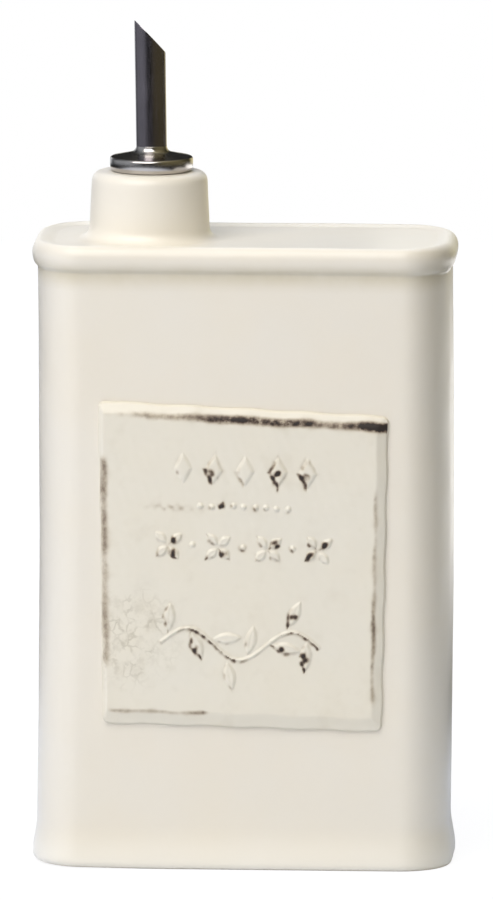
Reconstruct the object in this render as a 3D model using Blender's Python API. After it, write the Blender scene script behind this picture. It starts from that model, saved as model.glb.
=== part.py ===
"""A glazed oil jar with a pull-out pour spout. Metres, +Z up, front towards -Y.

The origin is on the ground under the middle of the jar.
"""

import math

import bmesh
import bpy

# Jar body, measured over its plain walls
BODY_WIDTH = 0.1157
BODY_DEPTH = 0.0545
BODY_CORNER_ACROSS = 0.013
BODY_CORNER_BACK = 0.0185
DECK_HEIGHT = 0.176
WALL_THICKNESS = 0.005
DECK_THICKNESS = 0.005
BASE_THICKNESS = 0.006
CAVITY_EDGE_RADIUS = 0.004

# Bead round the deck
RIM_REACH = 0.00155
RIM_HEIGHT = 0.0075
RIM_TOP_ROUNDING = 0.0027

# Flared foot and the shallow recess under it
FOOT_REACH = 0.0012
FOOT_EDGE_RADIUS = 0.0022
FOOT_HEIGHT = 0.0125
FOOT_RING_WIDTH = 0.006
FOOT_RECESS = 0.001

# Neck, off centre towards the pouring side
NECK_X = -0.0265
NECK_BASE_DIAMETER = 0.0338
NECK_TOP_DIAMETER = 0.0326
NECK_HEIGHT = 0.0179
NECK_SHOULDER_RADIUS = 0.0027
NECK_FILLET_RADIUS = 0.0016
NECK_BORE_DIAMETER = 0.0175
NECK_MOUTH_RADIUS = 0.0004
BORE_END_RADIUS = 0.0012

# Tablet on the front wall, a hand-cut four-sided slab with sloping edges
PLAQUE_X = 0.0008
PLAQUE_MIDDLE_HEIGHT = 0.0856
PLAQUE_HEIGHT = 0.0894
PLAQUE_TOP_WIDTH = 0.0807
PLAQUE_FOOT_WIDTH = 0.0776
PLAQUE_TOP_DROP = 0.0037
PLAQUE_FOOT_DROP = 0.0018
PLAQUE_THICKNESS = 0.0018
PLAQUE_UPRIGHT = 0.0005
PLAQUE_CORNER_RADIUS = 0.0015
PLAQUE_FACE_CORNER_RADIUS = 0.0006
SLOPE_LEFT = 0.001
SLOPE_TOP = 0.0028
SLOPE_RIGHT = 0.0026
SLOPE_FOOT = 0.0035
ARRIS_SHARE = 0.12

# Relief on the tablet
RELIEF_HEIGHT = 0.0007
RELIEF_ROOT = 0.0004
RELIEF_TILT = math.radians(-1.8)
LOZENGE_COUNT = 5
LOZENGE_PITCH = 0.0088
LOZENGE_WIDTH = 0.0052
LOZENGE_LENGTH = 0.009
LOZENGE_ROW_RISE = 0.0275
LOZENGE_CROWN = 0.35
BEAD_COUNT = 9
BEAD_PITCH = 0.003
BEAD_DIAMETER = 0.0018
BEAD_ROW_RISE = 0.0175
BEAD_CROWN = 0.5
FLORET_COUNT = 4
FLORET_PITCH = 0.014
FLORET_ROW_RISE = 0.006
PETAL_COUNT = 4
PETAL_LENGTH = 0.0042
PETAL_WIDTH = 0.0026
PETAL_START = 0.0006
PETAL_CROWN = 0.4
SCROLL_LENGTH = 0.044
SCROLL_SWING = 0.0042
SCROLL_WAVES = 1.5
SCROLL_RISE = -0.0215
STEM_WIDTH = 0.0011
STEM_HEIGHT = 0.0004
LEAF_COUNT = 8
LEAF_LENGTH = 0.0085
LEAF_WIDTH = 0.0034
LEAF_STEM_GAP = 0.0005
LEAF_SPREAD = math.radians(52)
LEAF_CROWN = 0.4

# Pour spout of polished steel
TUBE_DIAMETER = 0.0086
TUBE_WALL = 0.0005
TUBE_RISE = 0.0425
TUBE_TIP_SLOPE = math.radians(47)
TUBE_FACING = math.radians(12)
TUBE_BELOW_STOPPER = 0.001
FLANGE_DIAMETER = 0.0234
FLANGE_HEIGHT = 0.0042
FLANGE_EDGE_RADIUS = 0.002
FLANGE_LIP_RADIUS = 0.0012
FLANGE_RIM_THICKNESS = 0.00145
FLANGE_FILLET_RADIUS = 0.002
FLANGE_FLOAT = 0.0005

# Air tube inside the spout
VENT_DIAMETER = 0.0022
VENT_WALL = 0.0004
VENT_CAP = 0.0005
VENT_BELOW_STOPPER = 0.006
AIR_HOLE_DIAMETER = 0.0014
AIR_HOLE_RISE = 0.003

# Rubber stopper
STOPPER_HEAD_THICKNESS = 0.0028
STOPPER_LENGTH = 0.023
STOPPER_CORE_DIAMETER = 0.0135
STOPPER_RIB_COUNT = 5
STOPPER_RIB_PITCH = 0.0041
STOPPER_RIB_THICKNESS = 0.0011
STOPPER_RIB_ROOT = 0.0019
STOPPER_RIB_TAPER = 0.00012

# Clearances
SEAT_GAP = 0.0003
RUNNING_GAP = 0.00025
SOLDER_GAP = 0.0002

# Fineness of the rounded shapes
CORNER_STEPS = 8
ARC_STEPS = 4
NECK_SEGMENTS = 48
TUBE_SEGMENTS = 32
VENT_SEGMENTS = 16
BEAD_SEGMENTS = 8
CREASE_ANGLE = math.radians(35)

# Places worked out from the sizes above
NECK_TOP = DECK_HEIGHT + NECK_HEIGHT
FLANGE_BOTTOM = NECK_TOP + FLANGE_FLOAT
FLANGE_TOP = FLANGE_BOTTOM + FLANGE_HEIGHT
STOPPER_SEAT = NECK_TOP + SEAT_GAP
STOPPER_TOP = STOPPER_SEAT + STOPPER_HEAD_THICKNESS
STOPPER_BOTTOM = NECK_TOP - STOPPER_LENGTH
TUBE_RADIUS = TUBE_DIAMETER / 2
TUBE_TIP = NECK_TOP + TUBE_RISE
TUBE_BOTTOM = STOPPER_BOTTOM - TUBE_BELOW_STOPPER
AIR_HOLE_HEIGHT = FLANGE_TOP + FLANGE_FILLET_RADIUS + AIR_HOLE_RISE
VENT_RADIUS = VENT_DIAMETER / 2
VENT_OFFSET = TUBE_RADIUS - TUBE_WALL - SOLDER_GAP - VENT_RADIUS


def clear_scene():
    for old in list(bpy.data.objects):
        bpy.data.objects.remove(old, do_unlink=True)


def make_material(name, colour, roughness, metallic):
    material = bpy.data.materials.new(name)
    material.use_nodes = True
    shader = material.node_tree.nodes["Principled BSDF"]
    shader.inputs["Base Color"].default_value = (*colour, 1)
    shader.inputs["Roughness"].default_value = roughness
    shader.inputs["Metallic"].default_value = metallic
    material.diffuse_color = (*colour, 1)
    return material


def add_object(name, bm, material, smooth=True):
    """Turns a bmesh into an object with its faces pointing out, round pieces shaded smooth."""
    bmesh.ops.recalc_face_normals(bm, faces=bm.faces)
    mesh = bpy.data.meshes.new(name)
    bm.to_mesh(mesh)
    bm.free()
    if smooth:
        mesh.shade_smooth()
        mesh.set_sharp_from_angle(angle=CREASE_ANGLE)
    mesh.materials.append(material)
    made = bpy.data.objects.new(name, mesh)
    bpy.context.scene.collection.objects.link(made)
    return made


def add_guide(name, bm, smooth=True):
    """A cutter or another helper that isn't part of the jar."""
    guide = add_object(name, bm, bpy.data.materials["guide"], smooth)
    guide.hide_render = True
    guide.display_type = "WIRE"
    return guide


def arc(centre, radii, start, end, steps=ARC_STEPS):
    """Points on an elliptical arc in the plane, angles in degrees."""
    points = []
    for i in range(steps + 1):
        angle = math.radians(start + (end - start) * i / steps)
        points.append((centre[0] + radii[0] * math.cos(angle), centre[1] + radii[1] * math.sin(angle)))
    return points


def body_ring(offset, height):
    """The body's plan outline, moved outwards by offset. Its corners are quarter ellipses."""
    radii = (BODY_CORNER_ACROSS + offset, BODY_CORNER_BACK + offset)
    half_x = BODY_WIDTH / 2 - BODY_CORNER_ACROSS
    half_y = BODY_DEPTH / 2 - BODY_CORNER_BACK
    corners = ((half_x, half_y), (-half_x, half_y), (-half_x, -half_y), (half_x, -half_y))
    ring = []
    for quarter, corner in enumerate(corners):
        for x, y in arc(corner, radii, 90 * quarter, 90 * quarter + 90, CORNER_STEPS):
            ring.append((x, y, height))
    return ring


def round_ring(radius, height, segments, centre=(0, 0)):
    ring = []
    for i in range(segments):
        angle = 2 * math.pi * i / segments
        ring.append((centre[0] + radius * math.cos(angle), centre[1] + radius * math.sin(angle), height))
    return ring


def loft(bm, rings, closed=False):
    """Joins rings of equal length with four-sided faces and returns their vertices."""
    loops = [[bm.verts.new(point) for point in ring] for ring in rings]
    following = loops[1:] + loops[:1] if closed else loops[1:]
    for lower, upper in zip(loops, following):
        for i in range(len(lower)):
            j = (i + 1) % len(lower)
            bm.faces.new((lower[i], lower[j], upper[j], upper[i]))
    return loops


def turned(bm, profile, segments):
    """Spins a closed (radius, height) outline about its own vertical axis."""
    return loft(bm, [round_ring(r, z, segments) for r, z in profile], closed=True)


def capped(bm, rings):
    loops = loft(bm, rings)
    bm.faces.new(loops[0])
    bm.faces.new(loops[-1])
    return loops


def fill_between(bm, outer, inner):
    """Fills the flat area between two loops in one plane."""
    edges = []
    for loop in (outer, inner):
        for i in range(len(loop)):
            edges.append(bm.edges.get((loop[i], loop[(i + 1) % len(loop)])))
    bmesh.ops.triangle_fill(bm, edges=edges, use_beauty=True)


def foot_profile():
    """The outer wall's lower end, from the recess under the base up to the plain wall."""
    start = FOOT_REACH - FOOT_EDGE_RADIUS
    points = [(start - FOOT_RING_WIDTH - FOOT_RECESS, FOOT_RECESS), (start - FOOT_RING_WIDTH, 0)]
    points += arc((start, FOOT_EDGE_RADIUS), (FOOT_EDGE_RADIUS, FOOT_EDGE_RADIUS), -90, 0, ARC_STEPS + 1)
    flare_steps = ARC_STEPS + 2
    for i in range(1, flare_steps + 1):
        share = i / flare_steps
        reach = FOOT_REACH * (1 + math.cos(math.pi * share)) / 2
        points.append((reach, FOOT_EDGE_RADIUS + (FOOT_HEIGHT - FOOT_EDGE_RADIUS) * share))
    return points


def rim_profile():
    """The bead, from the plain wall up to the flat deck."""
    middle = DECK_HEIGHT - RIM_HEIGHT / 2
    points = arc((0, middle), (RIM_REACH, RIM_HEIGHT / 2), -90, 0, ARC_STEPS + 1)
    inner = RIM_REACH - RIM_TOP_ROUNDING
    points += arc((inner, middle), (RIM_TOP_ROUNDING, RIM_HEIGHT / 2), 0, 90, ARC_STEPS + 1)[1:]
    return points


def neck_profile():
    """Up the neck's outside, over its mouth and down the bore to the cavity."""
    base = NECK_BASE_DIAMETER / 2
    fillet = NECK_FILLET_RADIUS
    points = arc((base + fillet, DECK_HEIGHT + fillet), (fillet, fillet), 270, 180)
    shoulder = NECK_SHOULDER_RADIUS
    top = NECK_TOP_DIAMETER / 2 - shoulder
    points += arc((top, NECK_TOP - shoulder), (shoulder, shoulder), 0, 90, ARC_STEPS + 2)
    bore = NECK_BORE_DIAMETER / 2
    mouth = NECK_MOUTH_RADIUS
    points += arc((bore + mouth, NECK_TOP - mouth), (mouth, mouth), 90, 180, ARC_STEPS - 2)
    ceiling = DECK_HEIGHT - DECK_THICKNESS
    end = BORE_END_RADIUS
    points += arc((bore + end, ceiling + end), (end, end), 180, 270, ARC_STEPS - 1)
    return points


def cavity_profile():
    """From the deck's underside down the inner wall to the floor."""
    ceiling = DECK_HEIGHT - DECK_THICKNESS
    radius = CAVITY_EDGE_RADIUS
    inner = -WALL_THICKNESS - radius
    points = arc((inner, ceiling - radius), (radius, radius), 90, 0)
    points += arc((inner, BASE_THICKNESS + radius), (radius, radius), 0, -90)
    return points


def jar_body(material):
    """The one-piece jar: outer wall, deck, neck, bore and cavity as a single skin."""
    bm = bmesh.new()
    outside = loft(bm, [body_ring(offset, z) for offset, z in foot_profile() + rim_profile()])
    bm.faces.new(outside[0])
    centre = (NECK_X, 0)
    neck = loft(bm, [round_ring(r, z, NECK_SEGMENTS, centre) for r, z in neck_profile()])
    fill_between(bm, outside[-1], neck[0])
    cavity = loft(bm, [body_ring(offset, z) for offset, z in cavity_profile()])
    fill_between(bm, cavity[0], neck[-1])
    bm.faces.new(cavity[-1])
    return add_object("jar_body", bm, material)


def plaque_corners(share):
    """The tablet's four corners in its own plane, moved in by a share of the sloping edges."""
    half = PLAQUE_HEIGHT / 2
    top = PLAQUE_TOP_WIDTH / 2
    foot = PLAQUE_FOOT_WIDTH / 2
    corners = (
        (-foot, -half + PLAQUE_FOOT_DROP / 2),
        (foot, -half - PLAQUE_FOOT_DROP / 2),
        (top, half - PLAQUE_TOP_DROP / 2),
        (-top, half + PLAQUE_TOP_DROP / 2),
    )
    slopes = (SLOPE_FOOT, SLOPE_RIGHT, SLOPE_TOP, SLOPE_LEFT)
    moved = []
    for i, corner in enumerate(corners):
        insets = (slopes[i - 1] * share, slopes[i] * share)
        moved.append(inset_corner(corners[i - 1], corner, corners[(i + 1) % 4], insets))
    return moved


def inset_corner(before, corner, after, insets):
    """Moves one corner of an anticlockwise outline inwards from the edges before and after it."""
    first = unit(before, corner)
    second = unit(corner, after)
    turn = first[0] * second[1] - first[1] * second[0]
    u = corner[0] + (insets[0] * second[0] - insets[1] * first[0]) / turn
    v = corner[1] + (insets[0] * second[1] - insets[1] * first[1]) / turn
    return (u, v)


def unit(start, end):
    length = math.dist(start, end)
    return ((end[0] - start[0]) / length, (end[1] - start[1]) / length)


def rounded_outline(corners, radius, steps=ARC_STEPS):
    """A four-sided anticlockwise outline with its corners rounded."""
    outline = []
    for i, corner in enumerate(corners):
        first = unit(corners[i - 1], corner)
        second = unit(corner, corners[(i + 1) % len(corners)])
        centre = inset_corner(corners[i - 1], corner, corners[(i + 1) % len(corners)], (radius, radius))
        start = math.degrees(math.atan2(-first[0], first[1]))
        end = math.degrees(math.atan2(-second[0], second[1]))
        if end < start:
            end += 360
        outline += arc(centre, (radius, radius), start, end, steps)
    return outline


def on_plaque(u, v, rise):
    """A point of the tablet: u to the right, v up, rise out of its front face."""
    front = -BODY_DEPTH / 2 - SEAT_GAP - PLAQUE_THICKNESS
    return (PLAQUE_X + u, front - rise, PLAQUE_MIDDLE_HEIGHT + v)


def tilted(u, v):
    """The relief leans a little, like the hand-cut slab it is pressed into."""
    cos, sin = math.cos(RELIEF_TILT), math.sin(RELIEF_TILT)
    return (u * cos - v * sin, u * sin + v * cos)


def plaque_slab(material):
    """The slab: a low upright edge, then a slope up to the softened arris round the face."""
    drop = PLAQUE_THICKNESS - PLAQUE_UPRIGHT
    levels = [
        (0, -PLAQUE_THICKNESS),
        (0, -drop),
        (1 - ARRIS_SHARE, -drop * ARRIS_SHARE),
        (1, -drop * ARRIS_SHARE / 4),
        (1 + ARRIS_SHARE, 0),
    ]
    rings = []
    for share, rise in levels:
        radius = PLAQUE_CORNER_RADIUS + (PLAQUE_FACE_CORNER_RADIUS - PLAQUE_CORNER_RADIUS) * share
        outline = rounded_outline(plaque_corners(share), radius)
        rings.append([on_plaque(u, v, rise) for u, v in outline])
    bm = bmesh.new()
    capped(bm, rings)
    return add_object("front_plaque", bm, material, smooth=False)


def add_mound(bm, outline, centre, crown):
    """A raised motif: its outline drawn in towards the centre as it rises, to a share called crown."""
    top = [(centre[0] + (u - centre[0]) * crown, centre[1] + (v - centre[1]) * crown) for u, v in outline]
    root = [on_plaque(*tilted(u, v), -RELIEF_ROOT) for u, v in outline]
    foot = [on_plaque(*tilted(u, v), 0) for u, v in outline]
    raised = [on_plaque(*tilted(u, v), RELIEF_HEIGHT) for u, v in top]
    capped(bm, [root, foot, raised])


def along(start, angle, distance):
    return (start[0] + distance * math.cos(angle), start[1] + distance * math.sin(angle))


def almond(start, angle, length, width, steps=ARC_STEPS):
    """A pointed leaf outline that starts at a point and runs along an angle."""
    outline = []
    for side in (-1, 1):
        for i in range(steps):
            share = i / steps if side < 0 else 1 - i / steps
            across = side * width / 2 * math.sin(math.pi * share)
            outline.append(along(along(start, angle, length * share), angle + math.pi / 2, across))
    return outline


def lozenge_row(bm):
    for i in range(LOZENGE_COUNT):
        u = (i - (LOZENGE_COUNT - 1) / 2) * LOZENGE_PITCH
        v = LOZENGE_ROW_RISE
        half_width, half_length = LOZENGE_WIDTH / 2, LOZENGE_LENGTH / 2
        outline = [(u, v - half_length), (u + half_width, v), (u, v + half_length), (u - half_width, v)]
        add_mound(bm, outline, (u, v), LOZENGE_CROWN)


def round_mound(bm, u, v, diameter):
    outline = arc((u, v), (diameter / 2, diameter / 2), 0, 360, BEAD_SEGMENTS)[:-1]
    add_mound(bm, outline, (u, v), BEAD_CROWN)


def bead_row(bm):
    for i in range(BEAD_COUNT):
        round_mound(bm, (i - (BEAD_COUNT - 1) / 2) * BEAD_PITCH, BEAD_ROW_RISE, BEAD_DIAMETER)


def floret_row(bm):
    for i in range(FLORET_COUNT):
        u = (i - (FLORET_COUNT - 1) / 2) * FLORET_PITCH
        for petal in range(PETAL_COUNT):
            angle = 2 * math.pi * (petal + 0.5) / PETAL_COUNT
            start = (u + PETAL_START * math.cos(angle), FLORET_ROW_RISE + PETAL_START * math.sin(angle))
            outline = almond(start, angle, PETAL_LENGTH, PETAL_WIDTH)
            add_mound(bm, outline, along(start, angle, PETAL_LENGTH / 2), PETAL_CROWN)
    for i in range(FLORET_COUNT - 1):
        round_mound(bm, (i - (FLORET_COUNT - 2) / 2) * FLORET_PITCH, FLORET_ROW_RISE, BEAD_DIAMETER)


def scroll_point(share):
    """The waving stem's middle line and its direction."""
    u = SCROLL_LENGTH * (share - 0.5)
    phase = 2 * math.pi * SCROLL_WAVES * share
    v = SCROLL_RISE + SCROLL_SWING * math.sin(phase)
    slope = SCROLL_SWING * 2 * math.pi * SCROLL_WAVES / SCROLL_LENGTH * math.cos(phase)
    return (u, v), math.atan(slope)


def scroll(bm):
    """A waving stem with leaves to both sides."""
    steps = 6 * ARC_STEPS
    upper, lower = [], []
    for i in range(steps + 1):
        (u, v), angle = scroll_point(i / steps)
        across = (-math.sin(angle) * STEM_WIDTH / 2, math.cos(angle) * STEM_WIDTH / 2)
        upper.append((u + across[0], v + across[1]))
        lower.append((u - across[0], v - across[1]))
    rings = []
    for left, right in zip(upper, lower):
        root, crest = -RELIEF_ROOT, STEM_HEIGHT
        levels = ((left, root), (left, crest), (right, crest), (right, root))
        rings.append([on_plaque(*tilted(*point), rise) for point, rise in levels])
    capped(bm, rings)
    for i in range(LEAF_COUNT):
        side = 1 if i % 2 == 0 else -1
        (u, v), angle = scroll_point((i + 0.5) / LEAF_COUNT)
        gap = STEM_WIDTH / 2 + LEAF_STEM_GAP
        start = (u - side * math.sin(angle) * gap, v + side * math.cos(angle) * gap)
        lean = angle + side * LEAF_SPREAD
        outline = almond(start, lean, LEAF_LENGTH, LEAF_WIDTH)
        add_mound(bm, outline, along(start, lean, LEAF_LENGTH / 2), LEAF_CROWN)


def front_plaque(material):
    slab = plaque_slab(material)
    bm = bmesh.new()
    lozenge_row(bm)
    bead_row(bm)
    floret_row(bm)
    scroll(bm)
    relief = add_guide("relief_guide", bm, smooth=False)
    union = slab.modifiers.new("relief", "BOOLEAN")
    union.operation = "UNION"
    union.object = relief
    union.use_self = True
    return slab


def stopper_profile():
    """Up the ribbed outside, over the head and back down the bore."""
    bore = TUBE_RADIUS + RUNNING_GAP
    core = STOPPER_CORE_DIAMETER / 2
    widest = NECK_BORE_DIAMETER / 2 - RUNNING_GAP
    first = NECK_TOP - SEAT_GAP - STOPPER_RIB_PITCH * STOPPER_RIB_COUNT
    points = [(bore, STOPPER_BOTTOM), (core, STOPPER_BOTTOM)]
    for i in range(STOPPER_RIB_COUNT):
        reach = widest - STOPPER_RIB_TAPER * (STOPPER_RIB_COUNT - 1 - i)
        bottom = first + STOPPER_RIB_PITCH * (i + 0.5)
        points += [
            (core, bottom - STOPPER_RIB_ROOT / 2),
            (reach, bottom - STOPPER_RIB_THICKNESS / 2),
            (reach, bottom + STOPPER_RIB_THICKNESS / 2),
            (core, bottom + STOPPER_RIB_ROOT / 2),
        ]
    head = FLANGE_DIAMETER / 2 - FLANGE_RIM_THICKNESS - RUNNING_GAP
    points += [(core, STOPPER_SEAT), (head, STOPPER_SEAT), (head, STOPPER_TOP), (bore, STOPPER_TOP)]
    return points


def stopper(material):
    bm = bmesh.new()
    turned(bm, stopper_profile(), NECK_SEGMENTS)
    made = add_object("stopper", bm, material)
    made.location.x = NECK_X
    return made


def flange_profile():
    """A pressed disc: fillet to the tube, rounded rim, hollow underneath for the stopper's head."""
    hole = TUBE_RADIUS + SOLDER_GAP
    fillet = FLANGE_FILLET_RADIUS
    edge = FLANGE_EDGE_RADIUS
    lip = FLANGE_LIP_RADIUS
    outer = FLANGE_DIAMETER / 2
    inner = outer - FLANGE_RIM_THICKNESS
    ceiling = STOPPER_TOP + SEAT_GAP
    points = [(hole, ceiling), (hole, FLANGE_TOP + fillet)]
    points += arc((hole + fillet, FLANGE_TOP + fillet), (fillet, fillet), 180, 270)[1:]
    points += arc((outer - edge, FLANGE_TOP - edge), (edge, edge), 90, 0)
    points += arc((outer - lip, FLANGE_BOTTOM + lip), (lip, lip), 0, -90)
    points += [(inner, FLANGE_BOTTOM), (inner, ceiling)]
    return points


def spout_flange(material, turn):
    bm = bmesh.new()
    turned(bm, flange_profile(), NECK_SEGMENTS)
    made = add_object("spout_flange", bm, material)
    made.parent = turn
    return made


def tip_height(x):
    """The slanted cut's height at x, the distance towards the side that the cut faces."""
    return TUBE_TIP - (x + TUBE_RADIUS) * math.tan(TUBE_TIP_SLOPE)


def tube_rings(radius):
    lower = round_ring(radius, TUBE_BOTTOM, TUBE_SEGMENTS)
    upper = [(x, y, tip_height(x)) for x, y, _ in lower]
    return lower, upper


def spout_tube(material, turn, hole):
    """The pouring tube. Its long side is its lip, and the cut faces the other way."""
    outer_lower, outer_upper = tube_rings(TUBE_RADIUS)
    inner_lower, inner_upper = tube_rings(TUBE_RADIUS - TUBE_WALL)
    bm = bmesh.new()
    loft(bm, [outer_lower, outer_upper, inner_upper, inner_lower], closed=True)
    made = add_object("spout_tube", bm, material)
    made.parent = turn
    drill(made, hole)
    return made


def vent_tube(material, turn, hole):
    """The air tube, closed at its top and open at its foot and at the air hole."""
    top = AIR_HOLE_HEIGHT + AIR_HOLE_DIAMETER / 2 + VENT_CAP
    bottom = STOPPER_BOTTOM - VENT_BELOW_STOPPER
    bore = VENT_RADIUS - VENT_WALL
    levels = ((VENT_RADIUS, top), (VENT_RADIUS, bottom), (bore, bottom), (bore, top - VENT_CAP))
    bm = bmesh.new()
    capped(bm, [round_ring(r, z, VENT_SEGMENTS, (VENT_OFFSET, 0)) for r, z in levels])
    made = add_object("vent_tube", bm, material)
    made.parent = turn
    drill(made, hole)
    return made


def air_hole_guide(turn):
    """Runs from inside the air tube out through the spout's wall."""
    start, end = VENT_OFFSET, TUBE_RADIUS + VENT_RADIUS
    hole = round_ring(AIR_HOLE_DIAMETER / 2, 0, VENT_SEGMENTS)
    rings = [[(x, y, AIR_HOLE_HEIGHT + z) for y, z, _ in hole] for x in (start, end)]
    bm = bmesh.new()
    capped(bm, rings)
    guide = add_guide("air_hole_guide", bm)
    guide.parent = turn
    return guide


def drill(target, cutter):
    cut = target.modifiers.new("air_hole", "BOOLEAN")
    cut.operation = "DIFFERENCE"
    cut.object = cutter


def turning_axis():
    """The empty on the neck's axis that carries the turning spout."""
    empty = bpy.data.objects.new("spout_turn_axis", None)
    bpy.context.scene.collection.objects.link(empty)
    empty.location = (NECK_X, 0, 0)
    empty.rotation_euler.z = TUBE_FACING
    return empty


def build():
    clear_scene()
    make_material("guide", (0.5, 0.5, 0.5), 1.0, 0.0)
    glaze = make_material("cream_glaze", (0.81, 0.75, 0.66), 0.25, 0.0)
    tablet = make_material("tablet_glaze", (0.77, 0.72, 0.61), 0.35, 0.0)
    rubber = make_material("stopper_rubber", (0.03, 0.03, 0.03), 0.7, 0.0)
    steel = make_material("dark_steel", (0.30, 0.28, 0.28), 0.2, 1.0)
    flange_steel = make_material("flange_steel", (0.36, 0.34, 0.34), 0.18, 1.0)
    vent_steel = make_material("vent_steel", (0.55, 0.54, 0.53), 0.3, 1.0)
    jar_body(glaze)
    front_plaque(tablet)
    stopper(rubber)
    turn = turning_axis()
    hole = air_hole_guide(turn)
    spout_flange(flange_steel, turn)
    spout_tube(steel, turn, hole)
    vent_tube(vent_steel, turn, hole)


build()
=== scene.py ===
"""The looks of a glazed oil jar with a steel pour spout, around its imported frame. Metres, +Z up."""

import math

import bmesh
import bpy
import numpy as np
from mathutils import Matrix, Vector


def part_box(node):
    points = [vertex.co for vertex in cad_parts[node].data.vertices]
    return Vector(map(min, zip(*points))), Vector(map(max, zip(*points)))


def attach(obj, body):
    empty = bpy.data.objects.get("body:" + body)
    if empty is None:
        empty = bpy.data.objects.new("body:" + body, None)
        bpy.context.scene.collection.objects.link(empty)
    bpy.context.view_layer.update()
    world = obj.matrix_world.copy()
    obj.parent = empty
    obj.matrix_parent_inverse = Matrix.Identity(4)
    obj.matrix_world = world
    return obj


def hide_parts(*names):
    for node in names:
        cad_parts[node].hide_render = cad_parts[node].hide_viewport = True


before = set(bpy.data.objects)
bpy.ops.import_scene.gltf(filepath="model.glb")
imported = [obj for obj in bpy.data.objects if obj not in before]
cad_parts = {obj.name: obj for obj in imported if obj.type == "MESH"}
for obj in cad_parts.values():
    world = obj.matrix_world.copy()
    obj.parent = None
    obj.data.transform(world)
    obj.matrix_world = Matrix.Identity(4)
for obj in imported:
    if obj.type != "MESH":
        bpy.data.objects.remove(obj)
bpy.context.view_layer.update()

# Camera, at the photograph's viewing angle
VIEW_AZIMUTH = math.radians(3.0)
VIEW_ELEVATION = math.radians(8.2)
VIEW_ROLL = math.radians(0.144)
VIEW_TARGET = Vector((0.00035, 0, 0.115))
VIEW_DISTANCE = 6.0
IMAGE_HEIGHT = 900
PIXELS_PER_METRE = 3563
SENSOR = 36
CLIP_END = 100

# Softboxes: name, direction, distance, size, level, colour and whether they are mirrored
SOFTBOXES = (
    ("key", (-0.32, -0.68, 0.86), 1.2, 1.1, 1.05, (1.02, 1.0, 0.97), True),
    ("back", (0, 0.66, 0.75), 2.0, 0.8, 0.40, (0.80, 0.96, 1.32), False),
)

# Floor and the black card
FLAG_PLACE = (-0.03, 0.16, 0.245)
FLAG_SIZE = (0.12, 0.09)
FLAG_BLACK = 0.01
FLOOR_RADIUS = 1.3
# The floor's colour is a painted pool of light: pale round a middle in front, near black further out
FLOOR_LIT_MIDDLE = (-0.15, -0.25, 0)
FLOOR_LIT = (0.44, 0.6)
FLOOR_COLOUR = (0.86, 0.90, 0.98, 1)
FLOOR_UNLIT = 0.02
FLOOR_GLOW = 0.9
FLOOR_SHADOW = 0.14

# Glowing patch of the floor, painted light that the jar's right side mirrors low down
PATCH_WAY = (0.5, 0.866, 0.0)
PATCH_COSINES = (0.72, 0.94)
PATCH_NEAR = (0.3, 0.8)
PATCH_FAR = (1.05, 1.25)
PATCH_LEVEL = 2.15
PATCH_COLOUR = (1.0, 0.98, 0.94, 1)

# Studio around the jar. Each light has a way, the cosines of the angle to it between which it fades in, and a level
STUDIO_LIGHTS = (
    ((-0.98, -0.2, 0), (0.4, 1.0), 0.49),
    ((0.93, -0.37, 0), (0.3, 1.0), 0.16),
    ((0, 0, 1), (0.4, 0.95), 0.25),
    ((0, 0, 1), (0.88, 0.99), 0.3),
)
FRONT_LEVEL = 0.035
SCREEN_LEVEL = 1.0
SCREEN_COSINES = (0.64, 0.93)
SCREEN_TOP = (0.18, 0.4)
SCREEN_ABOVE = 0.12
COOL = (0.93, 0.98, 1.05, 1)
WARM = (1.0, 0.88, 0.48, 1)
TINT_REACH = 0.6

# Finishes, and where light is painted on the neck and the foot as a paler glaze
GLAZE = (0.807, 0.753, 0.665)
# Pooled glaze and painted shade: a darker, yellower colour in the creases under the bead, round the neck and on the
# foot
POOLED_GLAZE_AND_SHADE = (0.65, 0.585, 0.455, 1)
# Painted light: a paler colour over the lower neck and the foot
PAINTED_LIGHT_GLAZE = (0.92, 0.88, 0.80, 1)
PAINTED_LIGHT_SHARE = 0.5
PAINTED_LIGHT_START = (-0.0025, 0.001)
PAINTED_LIGHT_END = (0.004, 0.016)
PAINTED_LIGHT_FOOT = (0.002, 0.014)
BARE_CLAY = (0.70, 0.62, 0.51, 1)
BARE_ROUGHNESS = 0.4
CLOUD_DRIFTS = ((1.0, 0.993, 0.98), (0.995, 1.0, 1.01))
SPECK = (0.45, 0.37, 0.26, 1)
TABLET_GLAZE = (0.785, 0.735, 0.635)
CRACK = (0.40, 0.35, 0.26, 1)
SMUDGE = (0.50, 0.42, 0.30, 1)
HALO = (0.42, 0.34, 0.235, 1)
HALO_SHARE = 0.55
WEAR_STOPS = ((0.34, (0.40, 0.31, 0.21, 1)), (0.66, (0.13, 0.085, 0.057, 1)), (0.98, (0.020, 0.012, 0.009, 1)))
WORN_ROUGHNESS = 0.25
RUBBER = ((0.022, 0.022, 0.023, 1), (0.042, 0.041, 0.040, 1))
STEEL_DIM = 0.88

# Steels: colour, roughness and the scales that draw their marks out
FLANGE_STEEL = ((0.52, 0.495, 0.48), 0.19, (1, 1, 8))
# The tube's steel colour is darker than the flange's: a painted dark reflection
TUBE_STEEL_PAINTED_DARK = ((0.27, 0.245, 0.27), 0.19, (1, 1, 0.06))
VENT_STEEL = ((0.55, 0.54, 0.53), 0.2, (1, 1, 0.06))

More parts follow.
